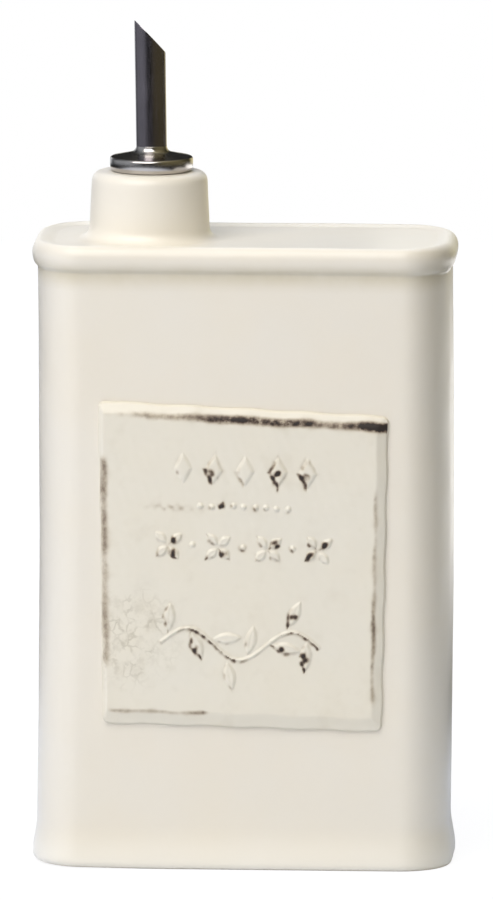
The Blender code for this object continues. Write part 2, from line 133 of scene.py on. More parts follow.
# Patches of the finishes: size, detail and roughness of a noise, then the levels of noise over which a value
# changes, and that value at both, 0 and 1 where none is given
PATCHES = {
    "cloud": ((0.03, 3), (0.3, 0.7)),
    "speck": ((0.0007,), (0.66, 0.8, 0.0, 0.06)),
    "pool": ((0.006,), (0.2, 0.8, 0.7, 1.0)),
    "jar_gloss": ((0.02, 3), (0.25, 0.75, 0.285, 0.36)),
    "tablet_gloss": ((0.02, 3), (0.25, 0.75, 0.30, 0.42)),
    "crack": ((0.004,), (0.42, 0.64, 0.0, 0.36)),
    "blotch": ((0.0028, 3, 0.6), (0.45, 0.7, 0.0, 0.20)),
    "smudge": ((0.010, 3), (0.55, 0.75, 0.0, 0.13)),
    "rubber_bloom": ((0.004, 3), (0.35, 0.7)),
    "rubber_gloss": ((0.002,), (0.3, 0.7, 0.55, 0.75)),
    "steel_tone": ((0.009,), (0.3, 0.7)),
    "grease": ((0.009,), (0.45, 0.75, 0.0, 0.03)),
}

# Bumps, wear and cracks of the finishes
GLAZE_BUMPS = ((0.012, 0.00009), (0.0016, 0.000006))
WORN_DEPTH = 0.00008
RAGGED = (0.0016, 3, 0.6)
BROKEN = 0.006
CRAZED_REACH = (0.007, 0.019)
CRAZE_CELL = 0.0030
CRAZE_DRIFT = 0.004
CRAZE_BEND = 0.0042
CRACK_WIDTH = 0.17
STEEL_MARKS = (0.0006, 3, 0.6)
STEEL_DEPTH = 0.0000015
RUBBER_GRAIN = 0.0004
RUBBER_DEPTH = 0.00001

# The jar's sizes that the frame's boxes don't give
RIM_REACH = 0.00155
RIM_HEIGHT = 0.0075
RIM_TOP_ROUNDING = 0.0027
DECK_DISH = 0.0008
DISH_WIDTH = 0.0036
CORNER_ACROSS = 0.013
CORNER_BACK = 0.0185
NECK_HEIGHT = 0.0179
NECK_BASE_RADIUS = 0.0169
NECK_TOP_RADIUS = 0.0163
NECK_SHIFT = -0.0005
NECK_SHOULDER = 0.0027
NECK_FILLET = 0.0030
BORE_RADIUS = 0.00875
MOUTH_RADIUS = 0.0004
MOUTH_FLAT = 0.001
BORE_END = 0.0012
WALL = 0.005
BASE = 0.006
CAVITY_EDGE = 0.004
FOOT_REACH = 0.0012
FOOT_EDGE = 0.0020
FOOT_HEIGHT = 0.0125
FOOT_RING = 0.006
FOOT_RECESS = 0.001
FOOT_FILLING = 0.65
FOOT_LIFT = 0.0004

# How a hand-finished jar departs from true. A wave has a depth, a length and a seed
WALL_BOW = 0.0005
SKIN_WAVES = ((0.00016, 0.045, 11), (0.00004, 0.010, 12))
CREASE_SOFTENING = 0.0011
LIFT_START = 0.02
RIM_WAVE = 0.8
NECK_WAVE = 0.5
NECK_WAVE_RADII = (0.012, 0.015)
FOOT_WAVE_HEIGHTS = (0.0005, 0.01)

# Fineness of the jar's skin
CORNER_STEPS = 20
LONG_STEPS = 60
SIDE_STEPS = 12
WALL_STEP = 0.0016
EDGE_STEP = 0.00035
FOOT_STEP = 0.00049
NECK_STEP = 0.000595
DECK_RINGS = 22
FAN_SHARES = (0.05, 0.25, 0.5, 0.75)
RECESS_SHARE = 0.9
NEARLY = 0.0001

# Where glaze pools in the creases, darkened further by painted shade, and where clay is bare, as heights, offsets and
# shares
POOL_AND_SHADE_LENGTH = 0.0058
DISH_START = -0.001
DECK_POOL_AND_SHADE = 0.15
NECK_POOL_AND_SHADE = 0.1
FOOT_POOL_AND_SHADE = 0.08
FOOT_POOL_AND_SHADE_HEIGHT = 0.009
BORE_BARE = 0.3
BARE_HEIGHTS = (0.0009, 0.0002)
BARE_REACHES = (0.0006, -0.0002)

# Tablet on the front wall
PLAQUE_X = 0.0008
PLAQUE_MIDDLE = 0.0856
PLAQUE_HEIGHT = 0.0894
PLAQUE_TOP_WIDTH = 0.0807
PLAQUE_FOOT_WIDTH = 0.0776
PLAQUE_TOP_DROP = 0.0037
PLAQUE_FOOT_DROP = 0.0018
PLAQUE_THICKNESS = 0.0018
PLAQUE_UPRIGHT = 0.0005
PLAQUE_CORNER = 0.0015
PLAQUE_EDGE_WAVE = 0.00018
EDGE_WAVE_LENGTH = 0.016
EDGE_SEEDS = (21, 22, 23, 24)
HAND_WAVES = ((0.00006, 0.012, 31), (0.00002, 0.003, 32))
HAND_DEPTH = 0.00008
HAND_MARGIN = 0.002
SEAT_GAP = 0.0003
SLOPES = {"left": 0.001, "top": 0.0028, "right": 0.0026, "foot": 0.0035}
ARRIS_SOFTNESS = 0.16
CRAZED_PLACE = (-0.032, -0.03, 0.0665)
TABLET_COLUMNS = 272
TABLET_ROWS = 304
# Rings down the tablet's edge: how far each is out, and how far in front of the tablet's seat
SKIRT = ((0.00004, 0.00030), (0.00014, 0.00008), (0.00034, -0.0001), (0.00036, -0.0007))

# Relief on the tablet
RELIEF_TILT = math.radians(-1.8)
RELIEF_HEIGHT = 0.0005
RELIEF_SLOPE = 0.0012
WEAR_REACH = 0.0008
WEAR_LEVELS = (0.4, 0.65, 0.85, 1.0)
WEAR_SHARES = (0.3, 0.3, 0.18, 0.22)
BLOT_SHIFT = 0.6
BLOT_RADII = (0.0010, 0.0019)
BLOT_STRENGTH = 1.2
BLOT_EDGE = (0.0014, -0.0006)
RELIEF_SEED = 7
PATCHY = 0.0022
PATCHY_SEED = 33
VEIN_WIDTH = 0.00022
VEIN_DEPTH = 0.25
SMEAR = {"u": -0.019, "v": 0.0166, "radii": (0.0085, 0.0013), "strength": 0.45}
HAND_SHIFT = 0.0003
HAND_TURN = 0.09
LOZENGE_COUNT = 5
LOZENGE_PITCH = 0.0088
LOZENGE_WIDTH = 0.0052
LOZENGE_LENGTH = 0.009
LOZENGE_ROW = 0.0275
BEAD_COUNT = 9
BEAD_PITCH = 0.003
BEAD_RADIUS = 0.0009
BEAD_ROW = 0.0175
FLORET_COUNT = 4
FLORET_PITCH = 0.014
FLORET_ROW = 0.006
PETAL_COUNT = 4
PETAL_LENGTH = 0.0042
PETAL_WIDTH = 0.0026
PETAL_START = 0.0006
SCROLL_LENGTH = 0.044
SCROLL_SWING = 0.0042
SCROLL_WAVES = 1.5
SCROLL_ROW = -0.0215
STEM_WIDTH = 0.0011
STEM_HEIGHT = 0.0004
STEM_POINTS = 160
LEAF_COUNT = 8
LEAF_LENGTH = 0.0085
LEAF_WIDTH = 0.0034
LEAF_GAP = 0.0005
LEAF_SPREAD = math.radians(52)

# Spout
TUBE_RADIUS = 0.0043
TUBE_WALL = 0.0005
TUBE_LIP = 0.00012
TIP_SLOPE = math.radians(47)
TUBE_FACING = math.radians(12)
TUBE_LEAN = 0.0006
TUBE_SEGMENTS = 96
AIR_HOLE_RADIUS = 0.0007
AIR_HOLE_RISE = 0.0029
AIR_HOLE_REACH = 0.0009
SHARP_ANGLE = math.radians(50)
FLANGE_SEGMENTS = 128
FLANGE_WIDEST = 0.0028
FLANGE_TURN = 0.0026
FLANGE_TUCK = 0.0007
FLANGE_FILLET = 0.0020
FLANGE_RISE = 0.0004
FLANGE_SLOPE = 12
FLANGE_EDGE = 0.0009
FLANGE_KNEE = 0.0004
FLANGE_BEVEL = 0.0002
FLANGE_OVERLAP = 0.00005
FLANGE_CEILING = 0.0029
FLANGE_WALL = 0.00145
FLANGE_CLEARANCE = 0.00015
VENT_WALL = 0.0004
VENT_CAP = 0.0005
VENT_EDGE = 0.0003
VENT_POLE = 0.00002
SOLDER_GAP = 0.0002
RUNNING_GAP = 0.00025
STOPPER_HEAD = 0.0028
STOPPER_CORE = 0.00675
STOPPER_EDGE = 0.0004
STOPPER_SEGMENTS = 96
RIB_COUNT = 5
RIB_PITCH = 0.0041
RIB_THICKNESS = 0.0011
RIB_ROOT = 0.0019
RIB_TAPER = 0.00012

# Places read from the frame
JAR_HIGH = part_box("jar_body")[1]
HALF_WIDTH = JAR_HIGH.x - RIM_REACH
HALF_DEPTH = JAR_HIGH.y - RIM_REACH
NECK_TOP = JAR_HIGH.z
DECK = NECK_TOP - NECK_HEIGHT
CREASE = DECK - RIM_HEIGHT
STOPPER_LOW, STOPPER_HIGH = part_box("stopper")
NECK_X = (STOPPER_LOW.x + STOPPER_HIGH.x) / 2
FLANGE_LOW, FLANGE_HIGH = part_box("spout_flange")
FLANGE_RADIUS = (FLANGE_HIGH.x - FLANGE_LOW.x) / 2
TUBE_LOW, TUBE_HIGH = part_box("spout_tube")
VENT_LOW, VENT_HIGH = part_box("vent_tube")
SPOUT_PLACE = Matrix.Translation((NECK_X, 0, 0)) @ Matrix.Rotation(TUBE_FACING, 4, "Z")


def smoothstep(value, low, high):
    share = np.clip((value - low) / (high - low), 0, 1)
    return share * share * (3 - 2 * share)


def waves(points, length, seed, count=24):
    """A smooth random field from -1 to 1, whose bumps are about length apart."""
    rng = np.random.default_rng(seed)
    points = np.asarray(points, float)
    directions = rng.normal(size=(count, points.shape[-1]))
    directions /= np.linalg.norm(directions, axis=1, keepdims=True)
    phases = rng.uniform(0, 2 * math.pi, count)
    field = np.sin(points @ directions.T * (2 * math.pi / length) + phases).sum(axis=-1)
    return np.tanh(1.2 * field / math.sqrt(2 * count))


def arc(centre, radii, start, end, steps):
    """Points on an elliptical arc, angles in degrees."""
    angles = np.radians(np.linspace(start, end, steps + 1))
    return [(centre[0] + radii[0] * math.cos(a), centre[1] + radii[1] * math.sin(a)) for a in angles]


def softened(profile, step, width):
    """The same profile with even steps and its creases rounded over a width, its ends kept."""
    profile = np.array(profile, float)
    lengths = np.concatenate([[0], np.cumsum(np.linalg.norm(np.diff(profile, axis=0), axis=1))])
    count = int(round(lengths[-1] / step))
    places = np.linspace(0, lengths[-1], count + 1)
    reach = max(1, int(round(width / step)))
    kernel = np.hanning(2 * reach + 1)
    kernel /= kernel.sum()
    columns = []
    for axis in range(2):
        even = np.interp(places, lengths, profile[:, axis])
        before = 2 * even[0] - even[reach:0:-1]
        after = 2 * even[-1] - even[-2:-reach - 2:-1]
        columns.append(np.convolve(np.concatenate([before, even, after]), kernel, "valid"))
    return np.column_stack(columns)


def new_object(name, data, material=None):
    if material:
        data.materials.append(material)
    made = bpy.data.objects.new(name, data)
    bpy.context.scene.collection.objects.link(made)
    return made


def ring_mesh(name, rings, closed=False, fans=False):
    """Joins rings of equal length. Closed joins the last to the first, fans closes both ends to a point."""
    rings = [np.asarray(ring, float) for ring in rings]
    count = len(rings[0])
    vertices = np.concatenate(rings)
    pairs = len(rings) if closed else len(rings) - 1
    i = np.arange(count)
    j = (i + 1) % count
    faces = []
    for k in range(pairs):
        low, high = k * count, (k + 1) % len(rings) * count
        faces += np.stack([low + i, low + j, high + j, high + i], axis=1).tolist()
    if fans:
        first, last = len(vertices), len(vertices) + 1
        vertices = np.concatenate([vertices, [rings[0].mean(0)], [rings[-1].mean(0)]])
        top = (len(rings) - 1) * count
        for a, b in zip(i.tolist(), j.tolist()):
            faces += [[first, b, a], [last, top + a, top + b]]
    mesh = bpy.data.meshes.new(name)
    mesh.from_pydata(vertices.tolist(), [], faces)
    mesh.shade_smooth()
    return mesh


def face_outwards(mesh):
    bm = bmesh.new()
    bm.from_mesh(mesh)
    bmesh.ops.recalc_face_normals(bm, faces=bm.faces)
    bm.to_mesh(mesh)
    bm.free()


def set_attribute(mesh, name, values):
    attribute = mesh.attributes.new(name, "FLOAT", "POINT")
    attribute.data.foreach_set("value", np.asarray(values, np.float32).ravel())


def read_vectors(items, key):
    flat = np.zeros(len(items) * 3, np.float32)
    items.foreach_get(key, flat)
    return flat.reshape(-1, 3).astype(float)


def body_plan():
    """The jar's plan as the centres and the outward directions of its ring points."""
    half_x, half_y = HALF_WIDTH - CORNER_ACROSS, HALF_DEPTH - CORNER_BACK
    corners = [Vector((half_x * sx, half_y * sy)) for sx, sy in ((1, 1), (-1, 1), (-1, -1), (1, -1))]
    centres, outward = [], []
    for quarter, corner in enumerate(corners):
        for angle in np.radians(np.linspace(90 * quarter, 90 * quarter + 90, CORNER_STEPS + 1)):
            centres.append(tuple(corner))
            outward.append((math.cos(angle), math.sin(angle)))
        steps = LONG_STEPS if quarter % 2 == 0 else SIDE_STEPS
        for i in range(1, steps):
            centres.append(tuple(corner.lerp(corners[(quarter + 1) % 4], i / steps)))
            outward.append(outward[-1])
    return np.array(centres), np.array(outward)


class Skin:
    """The jar's rings, from under its base over the neck into the cavity, with what each ring carries."""

    def __init__(self):
        self.centres, self.outward = body_plan()
        self.rings, self.carried = [], []

    def flat_ring(self, offset):
        """The plan, moved out by an offset, or by one for each of its points."""
        return self.centres + self.outward * (np.array((CORNER_ACROSS, CORNER_BACK)) + offset)

    def add(self, plan, height, wave=0.0, pool=0.0, bare=0.0):
        self.rings.append(np.column_stack([plan, np.full(len(plan), height)]))
        self.carried.append((wave, pool, bare))


def pooled_and_shaded(distance):
    """How much glaze has run together, and how much shade is painted in, at a distance from a crease."""
    return smoothstep(distance, POOL_AND_SHADE_LENGTH, 0)


def add_foot(skin):
    start = FOOT_REACH - FOOT_EDGE
    recess = skin.flat_ring(start - FOOT_RING - FOOT_RECESS)
    for share in (*FAN_SHARES, RECESS_SHARE):
        skin.add(recess * share, FOOT_RECESS, bare=1)
    profile = [(start - FOOT_RING - FOOT_RECESS, FOOT_RECESS), (start - FOOT_RING, 0), (start, 0)]
    profile += arc((start, FOOT_EDGE), (FOOT_EDGE,) * 2, -90, 0, 8)[1:]
    for share in np.linspace(0, 1, 13)[1:]:
        reach = FOOT_REACH * (1 + math.cos(math.pi * share)) / 2
        profile.append((reach, FOOT_EDGE + (FOOT_HEIGHT - FOOT_EDGE) * share))
    filling = FOOT_FILLING * smoothstep(skin.outward[:, :1], 0.3, 0.9)
    for offset, z in softened(profile, FOOT_STEP, CREASE_SOFTENING / 2):
        under = smoothstep(z, *BARE_HEIGHTS) * smoothstep(offset, *BARE_REACHES)
        reach = np.full_like(filling, offset)
        if z < FOOT_EDGE:
            reach += filling * (FOOT_REACH - offset) * smoothstep(offset, start - FOOT_RING / 2, start)
        skin.add(skin.flat_ring(reach), max(z, 0), wave=smoothstep(z, *FOOT_WAVE_HEIGHTS),
                 pool=FOOT_POOL_AND_SHADE * pooled_and_shaded(abs(z - FOOT_POOL_AND_SHADE_HEIGHT)), bare=under)


def add_wall(skin):
    top = CREASE - 2 * CREASE_SOFTENING
    for z in np.linspace(FOOT_HEIGHT, top, int((top - FOOT_HEIGHT) / WALL_STEP))[1:-1]:
        skin.add(skin.flat_ring(0), z, wave=1, pool=pooled_and_shaded(CREASE - z))


def add_rim(skin):
    """The bead, then down its inner side to the dished deck."""
    middle = DECK - RIM_HEIGHT / 2
    inner = RIM_REACH - RIM_TOP_ROUNDING
    profile = [(0, CREASE - 2 * CREASE_SOFTENING)]
    profile += arc((0, middle), (RIM_REACH, RIM_HEIGHT / 2), -90, 0, 14)
    profile += arc((inner, middle), (RIM_TOP_ROUNDING, RIM_HEIGHT / 2), 0, 90, 14)[1:]
    for share in np.linspace(0, 1, 9)[1:]:
        profile.append((inner - DISH_WIDTH * share, DECK - DECK_DISH * (1 - math.cos(math.pi * share)) / 2))
    rings = softened(profile, EDGE_STEP, CREASE_SOFTENING)
    for offset, z in rings:
        pool = pooled_and_shaded(max(CREASE - z, (z - CREASE) * 1.5))
        if offset < DISH_START:
            pool = DECK_POOL_AND_SHADE * pooled_and_shaded(offset - inner + DISH_WIDTH)
        skin.add(skin.flat_ring(offset), z, wave=RIM_WAVE, pool=pool)
    return rings[-1][0]


def add_neck(skin, deck_offset):
    """Across the deck, up the neck and over its mouth."""
    edge = skin.flat_ring(deck_offset)
    rays = edge - (NECK_X, 0)
    directions = rays / np.linalg.norm(rays, axis=1, keepdims=True)
    floor = DECK - DECK_DISH
    foot_radius = NECK_BASE_RADIUS + NECK_FILLET
    outer = np.array((NECK_X + NECK_SHIFT, 0))
    landing = outer + directions * foot_radius
    for share in np.linspace(0, 1, DECK_RINGS + 1)[1:-1]:
        gap = np.linalg.norm(landing - edge, axis=1).mean() * (1 - share)
        skin.add(edge + (landing - edge) * share, floor, wave=NECK_WAVE, pool=DECK_POOL_AND_SHADE * pooled_and_shaded(gap / 2))
    top = NECK_TOP_RADIUS - NECK_SHOULDER
    mouth = BORE_RADIUS + MOUTH_RADIUS
    profile = arc((foot_radius, floor + NECK_FILLET), (NECK_FILLET,) * 2, 270, 180, 6)
    profile += arc((top, NECK_TOP - NECK_SHOULDER), (NECK_SHOULDER,) * 2, 0, 90, 10)
    profile.append((mouth + MOUTH_FLAT, NECK_TOP))
    for radius, z in softened(profile, NECK_STEP, CREASE_SOFTENING):
        centre = outer
        if z > NECK_TOP - NEARLY:
            centre = np.array((NECK_X + NECK_SHIFT * smoothstep(radius, mouth, top), 0))
        wave = NECK_WAVE * smoothstep(radius, *NECK_WAVE_RADII)
        skin.add(centre + directions * radius, min(z, NECK_TOP), wave=wave, pool=NECK_POOL_AND_SHADE * pooled_and_shaded(z - floor))
    axis = np.array((NECK_X, 0))
    for radius, z in arc((mouth, NECK_TOP - MOUTH_RADIUS), (MOUTH_RADIUS,) * 2, 90, 180, 4):
        skin.add(axis + directions * radius, z, bare=BORE_BARE)
    return axis, directions


def add_cavity(skin, axis, directions):
    """Down the bore and round the hollow inside."""
    ceiling = DECK - WALL
    for z in np.linspace(NECK_TOP - MOUTH_RADIUS, ceiling + BORE_END, 12)[1:-1]:
        skin.add(axis + directions * BORE_RADIUS, z, bare=BORE_BARE)
    for radius, z in arc((BORE_RADIUS + BORE_END, ceiling + BORE_END), (BORE_END,) * 2, 180, 270, 4):
        skin.add(axis + directions * radius, z)
    inner = -WALL - CAVITY_EDGE
    start = axis + directions * (BORE_RADIUS + BORE_END)
    end = skin.flat_ring(inner)
    for share in np.linspace(0, 1, 9)[1:-1]:
        skin.add(start + (end - start) * share, ceiling)
    high, low = ceiling - CAVITY_EDGE, BASE + CAVITY_EDGE
    hollow = arc((inner, high), (CAVITY_EDGE,) * 2, 90, 0, 6)
    hollow += [(-WALL, z) for z in np.linspace(high, low, 16)[1:-1]]
    hollow += arc((inner, low), (CAVITY_EDGE,) * 2, 0, -90, 6)
    for offset, z in hollow:
        skin.add(skin.flat_ring(offset), z)
    for share in reversed(FAN_SHARES):
        skin.add(skin.flat_ring(inner) * share, BASE)


def roughen_jar(mesh, wave):
    """Gives the skin its waves, always inwards, the slight bow of its walls and a foot that is not quite flat."""
    points, normals = read_vectors(mesh.vertices, "co"), read_vectors(mesh.vertex_normals, "vector")
    sunk = sum(depth * (1 - waves(points, length, seed)) / 2 for depth, length, seed in SKIN_WAVES)
    points -= normals * (sunk * wave)[:, None]
    share = np.clip((points[:, 2] - FOOT_HEIGHT) / (CREASE - FOOT_HEIGHT), 0, 1)
    points[:, 0] += WALL_BOW * np.sin(math.pi * share) ** 0.8
    front_left = smoothstep(-points[:, 0], LIFT_START, HALF_WIDTH) * smoothstep(-points[:, 1], 0, HALF_DEPTH)
    points[:, 2] += FOOT_LIFT * front_left * smoothstep(points[:, 2], BASE, 0)
    mesh.vertices.foreach_set("co", points.astype(np.float32).ravel())
    mesh.update()


def build_jar(material):
    skin = Skin()
    add_foot(skin)
    add_wall(skin)
    deck_offset = add_rim(skin)
    axis, directions = add_neck(skin, deck_offset)
    add_cavity(skin, axis, directions)
    mesh = ring_mesh("jar_skin", skin.rings, fans=True)
    carried = np.repeat(skin.carried, len(skin.centres), axis=0)
    wave, pool, bare = np.concatenate([carried, [(0, 0, 1), (0, 0, 0)]]).T
    roughen_jar(mesh, wave)
    set_attribute(mesh, "pool", pool)
    set_attribute(mesh, "bare", bare)
    jar = new_object("jar_skin", mesh, material)
    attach(jar, "jar")
    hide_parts("jar_body")


def turned_axes(x, y, angle):
    """Places as seen from axes that are turned by an angle."""
    cos, sin = math.cos(angle), math.sin(angle)
    return x * cos + y * sin, y * cos - x * sin


class Relief:
    """Raised motifs on a field of points: how high they stand and where their edges are worn."""

    def __init__(self, u, v):
        self.u, self.v = turned_axes(u, v, RELIEF_TILT)
        self.rise = np.zeros_like(u)
        self.wear = np.zeros_like(u)
        self.rng = np.random.default_rng(RELIEF_SEED)
        self.patchy = 0.75 + 0.45 * waves(np.stack([self.u, self.v], axis=-1), PATCHY, PATCHY_SEED)

    def press(self, distance, height=RELIEF_HEIGHT, slope=RELIEF_SLOPE, groove=None):
        """Raises a motif whose edge is where distance is 0, inside being negative."""
        share = np.clip(-distance / slope, 0, 1)
        raised = height * (1 - (1 - share) ** 2.2)
        if groove is not None:
            raised -= VEIN_DEPTH * height * np.exp(-(groove / VEIN_WIDTH) ** 2) * (share > 0.6)
        self.rise = np.maximum(self.rise, raised)
        down, across = np.gradient(distance)
        length = np.hypot(down, across) + 1e-12
        facing = (-0.75 * across - 0.65 * down) / length
        strength = self.rng.choice(WEAR_LEVELS, p=WEAR_SHARES)
        band = np.exp(-((distance + 0.0002) / WEAR_REACH) ** 2)
        self.wear = np.maximum(self.wear, band * self.patchy * strength * (0.3 + 0.7 * np.clip(facing, 0, 1)))
        if strength == max(WEAR_LEVELS):
            inside = share > 0.3
            reach = np.array((np.ptp(self.u[inside]), np.ptp(self.v[inside]))) / 2
            spot = (self.u[inside].mean(), self.v[inside].mean()) - self.rng.uniform(0, 1, 2) * BLOT_SHIFT * reach
            strength = BLOT_STRENGTH * smoothstep(distance, *BLOT_EDGE)
            self.stain(*spot, self.rng.uniform(*BLOT_RADII, 2), strength)

    def stain(self, u, v, radii, strength):
        stain = np.exp(-(((self.u - u) / radii[0]) ** 2 + ((self.v - v) / radii[1]) ** 2))
        self.wear = np.maximum(self.wear, strength * stain * self.patchy)

    def by_hand(self, u, v, turn=0.0):
        """The points as seen from a motif that is pressed by hand: along it and across it."""
        x, y = self.rng.uniform(-HAND_SHIFT, HAND_SHIFT, 2)
        turn += self.rng.uniform(-HAND_TURN, HAND_TURN)
        return turned_axes(self.u - u - x, self.v - v - y, turn)

    def lozenge(self, u, v):
        x, y = np.abs(self.by_hand(u, v))
        a, b = LOZENGE_WIDTH / 2, LOZENGE_LENGTH / 2
        sharp = (x * b + y * a - a * b) / math.hypot(a, b)
        round_off = np.hypot(x / a, y / b) - 1
        self.press(0.75 * sharp + 0.15 * round_off * a)

    def bead(self, u, v):
        self.press(np.hypot(*self.by_hand(u, v)) - BEAD_RADIUS, slope=BEAD_RADIUS)

    def almond(self, u, v, angle, length, width):
        along, across = self.by_hand(u, v, angle)
        across = np.abs(across)
        half = width / 2 * np.sin(math.pi * np.clip(along / length, 0, 1))
        beyond = np.maximum(0, np.maximum(-along, along - length))
        self.press(np.hypot(across - half, beyond) * np.where((across < half) & (beyond == 0), -1, 1),
                   slope=width / 3, groove=across)

    def stem(self):
        nearest = np.ones_like(self.u)
        for share in np.linspace(0, 1, STEM_POINTS):
            (u, v), _ = scroll_point(share)
            nearest = np.minimum(nearest, (self.u - u) ** 2 + (self.v - v) ** 2)
        self.press(np.sqrt(nearest) - STEM_WIDTH / 2, height=STEM_HEIGHT, slope=STEM_WIDTH / 2)


def scroll_point(share):
    """The waving stem's middle line and its direction."""
    phase = 2 * math.pi * SCROLL_WAVES * share
    slope = SCROLL_SWING * 2 * math.pi * SCROLL_WAVES / SCROLL_LENGTH * math.cos(phase)
    return (SCROLL_LENGTH * (share - 0.5), SCROLL_ROW + SCROLL_SWING * math.sin(phase)), math.atan(slope)


def centred(count, pitch):
    return [(i - (count - 1) / 2) * pitch for i in range(count)]


def press_relief(u, v):
    relief = Relief(u, v)
    for place in centred(LOZENGE_COUNT, LOZENGE_PITCH):
        relief.lozenge(place, LOZENGE_ROW)
    for place in centred(BEAD_COUNT, BEAD_PITCH):
        relief.bead(place, BEAD_ROW)
    for place in centred(FLORET_COUNT, FLORET_PITCH):
        for petal in range(PETAL_COUNT):
            angle = 2 * math.pi * (petal + 0.5) / PETAL_COUNT
            start_u = place + PETAL_START * math.cos(angle)
            start_v = FLORET_ROW + PETAL_START * math.sin(angle)
            relief.almond(start_u, start_v, angle, PETAL_LENGTH, PETAL_WIDTH)
    for place in centred(FLORET_COUNT - 1, FLORET_PITCH):
        relief.bead(place, FLORET_ROW)
    relief.stain(**SMEAR)
    relief.stem()
    for i in range(LEAF_COUNT):
        side = 1 if i % 2 == 0 else -1
        (start_u, start_v), angle = scroll_point((i + 0.5) / LEAF_COUNT)
        gap = side * (STEM_WIDTH / 2 + LEAF_GAP)
        lean = angle + side * LEAF_SPREAD
        relief.almond(start_u - math.sin(angle) * gap, start_v + math.cos(angle) * gap,
                      lean, LEAF_LENGTH, LEAF_WIDTH)
    return relief


def round_corners(across, up, width, height):
    """Draws the grid's four corners in to arcs, with across and up measured from the lower left."""
    x, y = np.minimum(across, width - across), np.minimum(up, height - up)
    s, t = np.clip(1 - x / PLAQUE_CORNER, 0, 1), np.clip(1 - y / PLAQUE_CORNER, 0, 1)
    inside = (s > 0) & (t > 0)
    x = np.where(inside, PLAQUE_CORNER * (1 - s * np.sqrt(1 - t * t / 2)), x)
    y = np.where(inside, PLAQUE_CORNER * (1 - t * np.sqrt(1 - s * s / 2)), y)
    return np.where(across > width / 2, width - x, x), np.where(up > height / 2, height - y, y)


# How dark each arris of the tablet is worn, from its left or top end (0) to the other (1)
ARRIS_WEAR = {
    "top": ((0, 0), (0.06, 0.3), (0.14, 0.5), (0.34, 0.62), (0.42, 0.9), (0.7, 0.88), (0.8, 0.6), (0.88, 0.8),
            (0.94, 1.3)),
    "left": ((0, 0), (0.15, 0), (0.18, 0.62), (0.36, 0.55), (0.6, 0.45), (0.8, 0.52), (0.84, 0), (1, 0)),
    "right": ((0, 0), (0.2, 0), (0.26, 0.42), (0.55, 0.38), (0.62, 0.6), (0.9, 0.45), (0.95, 0), (1, 0)),
    "foot": ((0, 0), (0.03, 0.42), (0.3, 0.4), (0.36, 0.6), (0.4, 0), (1, 0)),
}
ARRIS_BAND = {"top": 0.0014, "left": 0.0015, "right": 0.0009, "foot": 0.0008}


def slab(distances, along):
    """The tablet's height over the wall and the wear on its arrises, from the distances to its edges."""
    deficit, wear = 0, 0
    for side, distance in distances.items():
        short = 1 - distance / SLOPES[side]
        soft = np.where(short > ARRIS_SOFTNESS, short, (short + ARRIS_SOFTNESS) ** 2 / (4 * ARRIS_SOFTNESS))
        deficit = deficit + np.where(short < -ARRIS_SOFTNESS, 0, soft) ** 3
        strength = np.interp(along[side], *zip(*ARRIS_WEAR[side]))
        band = np.exp(-((distance - SLOPES[side]) / ARRIS_BAND[side]) ** 2)
        wear = np.maximum(wear, strength * band)
    drop = (PLAQUE_THICKNESS - PLAQUE_UPRIGHT) * np.minimum(deficit ** (1 / 3), 1)
    return PLAQUE_THICKNESS - drop, wear


def tablet_field():
    """The tablet's face as a grid: places in its plane, height over the wall and wear."""
    width, height = (PLAQUE_TOP_WIDTH + PLAQUE_FOOT_WIDTH) / 2, PLAQUE_HEIGHT
    across, up = np.meshgrid(np.linspace(0, width, TABLET_COLUMNS + 1), np.linspace(0, height, TABLET_ROWS + 1))
    across, up = round_corners(across, up, width, height)
    a, b = across / width, up / height
    u = (a - 0.5) * (PLAQUE_FOOT_WIDTH * (1 - b) + PLAQUE_TOP_WIDTH * b)
    v = (b - 0.5) * height + (0.5 - a) * (PLAQUE_FOOT_DROP * (1 - b) + PLAQUE_TOP_DROP * b)
    edge_waves = [waves(axis[..., None], EDGE_WAVE_LENGTH, seed, 6) * PLAQUE_EDGE_WAVE
                  for axis, seed in zip((v, v, u, u), EDGE_SEEDS)]
    distances = {"left": across, "right": width - across, "foot": up, "top": height - up}
    along = {"top": a, "foot": a, "left": 1 - b, "right": 1 - b}
    slab_height, arris_wear = slab(distances, along)
    relief = press_relief(u, v)
    u = u + edge_waves[0] * (1 - a) ** 3 + edge_waves[1] * a ** 3
    v = v + edge_waves[2] * b ** 3 + edge_waves[3] * (1 - b) ** 3
    ground = np.stack([u, v], axis=-1)
    hand = sum(depth * waves(ground, length, seed) for depth, length, seed in HAND_WAVES)
    inside = smoothstep(np.minimum.reduce(list(distances.values())), 0, HAND_MARGIN)
    rise = slab_height + relief.rise + (hand - HAND_DEPTH) * inside
    return u, v, rise, relief.wear, arris_wear


